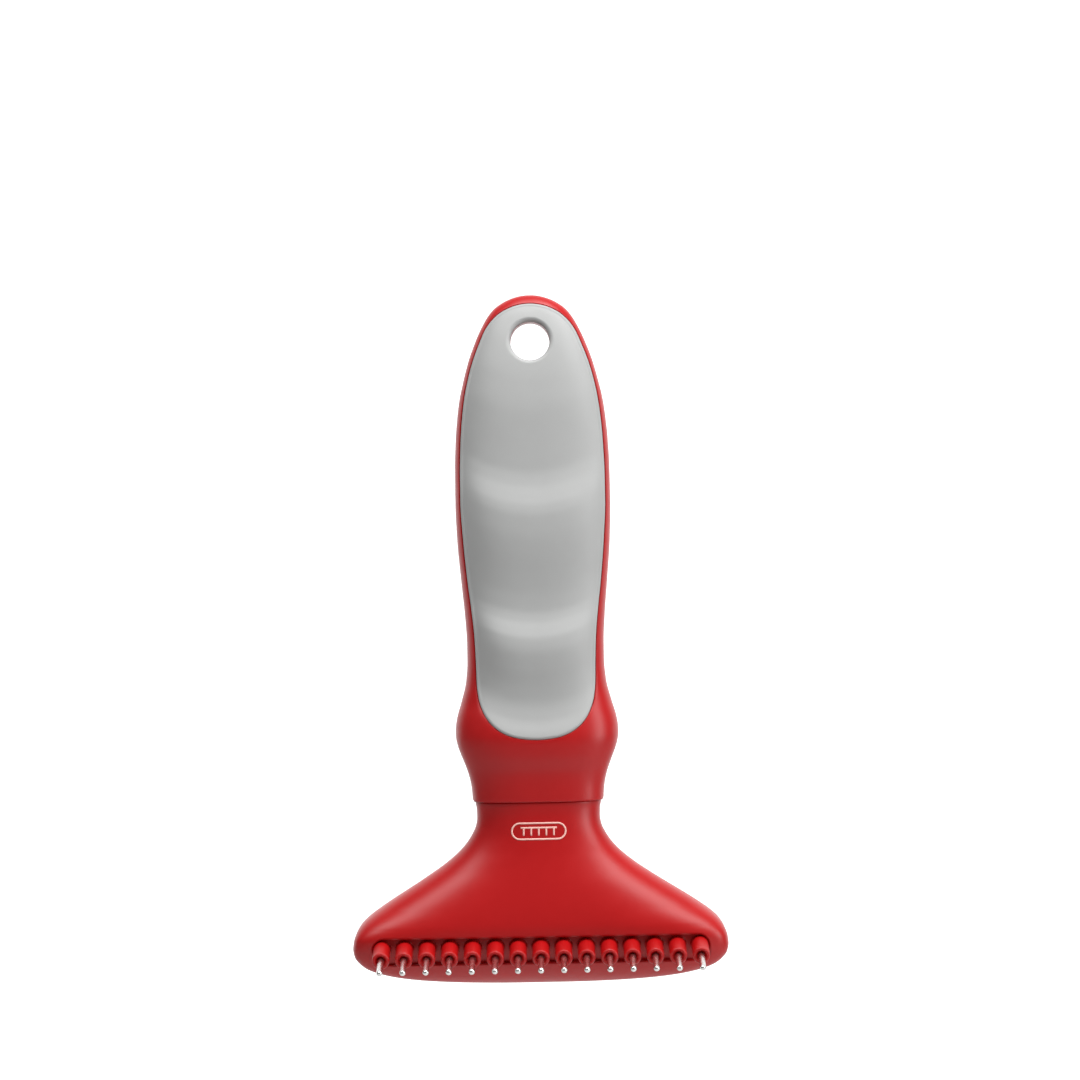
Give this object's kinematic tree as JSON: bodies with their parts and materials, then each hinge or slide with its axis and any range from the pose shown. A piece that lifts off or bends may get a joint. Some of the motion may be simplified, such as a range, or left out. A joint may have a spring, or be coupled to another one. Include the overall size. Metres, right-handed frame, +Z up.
{
  "type": "undercoat rake",
  "caption": "Hand grooming rake with a straight row of free-turning steel pins in a flared plastic head, a soft contoured handle grip and a hanging hole.",
  "frame": {"origin": "centre of the hanging hole near the end of the handle, on the parting plane of the two shell halves", "axes": "+Z up along the handle towards its rounded end, +X along the row of pins to the right seen from the pins' side, +Y from the pins' side to the back, along the hanging hole"},
  "size_m": [0.0748, 0.0337, 0.1374],
  "materials": {
    "red_plastic": "satin moulded",
    "soft_grey": "matte soft-touch",
    "pin_steel": "polished"
  },
  "bodies": {
    "rake": {"handle_front_shell": "red_plastic", "handle_back_shell": "red_plastic", "finger_pad": "soft_grey", "thumb_pad": "soft_grey", "head_front_shell": "red_plastic", "head_back_cover": "red_plastic", "pin_carrier": "red_plastic", "pin_retainer": "red_plastic"},
    "turning_pin_01": {"pin_01": "pin_steel"},
    "turning_pin_02": {"pin_02": "pin_steel"},
    "turning_pin_03": {"pin_03": "pin_steel"},
    "turning_pin_04": {"pin_04": "pin_steel"},
    "turning_pin_05": {"pin_05": "pin_steel"},
    "turning_pin_06": {"pin_06": "pin_steel"},
    "turning_pin_07": {"pin_07": "pin_steel"},
    "turning_pin_08": {"pin_08": "pin_steel"},
    "turning_pin_09": {"pin_09": "pin_steel"},
    "turning_pin_10": {"pin_10": "pin_steel"},
    "turning_pin_11": {"pin_11": "pin_steel"},
    "turning_pin_12": {"pin_12": "pin_steel"},
    "turning_pin_13": {"pin_13": "pin_steel"},
    "turning_pin_14": {"pin_14": "pin_steel"},
    "turning_pin_15": {"pin_15": "pin_steel"}
  },
  "joints": [
    {"name": "pin_01_turn", "type": "hinge", "parent": "rake", "child": "turning_pin_01", "pos_m": [-0.0315, -0.0077, -0.1202], "axis": [0, -0.9763, -0.2164], "continuous": true},
    {"name": "pin_02_turn", "type": "hinge", "parent": "rake", "child": "turning_pin_02", "pos_m": [-0.027, -0.0077, -0.1202], "axis": [0, -0.9763, -0.2164], "continuous": true},
    {"name": "pin_03_turn", "type": "hinge", "parent": "rake", "child": "turning_pin_03", "pos_m": [-0.0225, -0.0077, -0.1202], "axis": [0, -0.9763, -0.2164], "continuous": true},
    {"name": "pin_04_turn", "type": "hinge", "parent": "rake", "child": "turning_pin_04", "pos_m": [-0.018, -0.0077, -0.1202], "axis": [0, -0.9763, -0.2164], "continuous": true},
    {"name": "pin_05_turn", "type": "hinge", "parent": "rake", "child": "turning_pin_05", "pos_m": [-0.0135, -0.0077, -0.1202], "axis": [0, -0.9763, -0.2164], "continuous": true},
    {"name": "pin_06_turn", "type": "hinge", "parent": "rake", "child": "turning_pin_06", "pos_m": [-0.009, -0.0077, -0.1202], "axis": [0, -0.9763, -0.2164], "continuous": true},
    {"name": "pin_07_turn", "type": "hinge", "parent": "rake", "child": "turning_pin_07", "pos_m": [-0.0045, -0.0077, -0.1202], "axis": [0, -0.9763, -0.2164], "continuous": true},
    {"name": "pin_08_turn", "type": "hinge", "parent": "rake", "child": "turning_pin_08", "pos_m": [0, -0.0077, -0.1202], "axis": [0, -0.9763, -0.2164], "continuous": true},
    {"name": "pin_09_turn", "type": "hinge", "parent": "rake", "child": "turning_pin_09", "pos_m": [0.0045, -0.0077, -0.1202], "axis": [0, -0.9763, -0.2164], "continuous": true},
    {"name": "pin_10_turn", "type": "hinge", "parent": "rake", "child": "turning_pin_10", "pos_m": [0.009, -0.0077, -0.1202], "axis": [0, -0.9763, -0.2164], "continuous": true},
    {"name": "pin_11_turn", "type": "hinge", "parent": "rake", "child": "turning_pin_11", "pos_m": [0.0135, -0.0077, -0.1202], "axis": [0, -0.9763, -0.2164], "continuous": true},
    {"name": "pin_12_turn", "type": "hinge", "parent": "rake", "child": "turning_pin_12", "pos_m": [0.018, -0.0077, -0.1202], "axis": [0, -0.9763, -0.2164], "continuous": true},
    {"name": "pin_13_turn", "type": "hinge", "parent": "rake", "child": "turning_pin_13", "pos_m": [0.0225, -0.0077, -0.1202], "axis": [0, -0.9763, -0.2164], "continuous": true},
    {"name": "pin_14_turn", "type": "hinge", "parent": "rake", "child": "turning_pin_14", "pos_m": [0.027, -0.0077, -0.1202], "axis": [0, -0.9763, -0.2164], "continuous": true},
    {"name": "pin_15_turn", "type": "hinge", "parent": "rake", "child": "turning_pin_15", "pos_m": [0.0315, -0.0077, -0.1202], "axis": [0, -0.9763, -0.2164], "continuous": true}
  ]
}
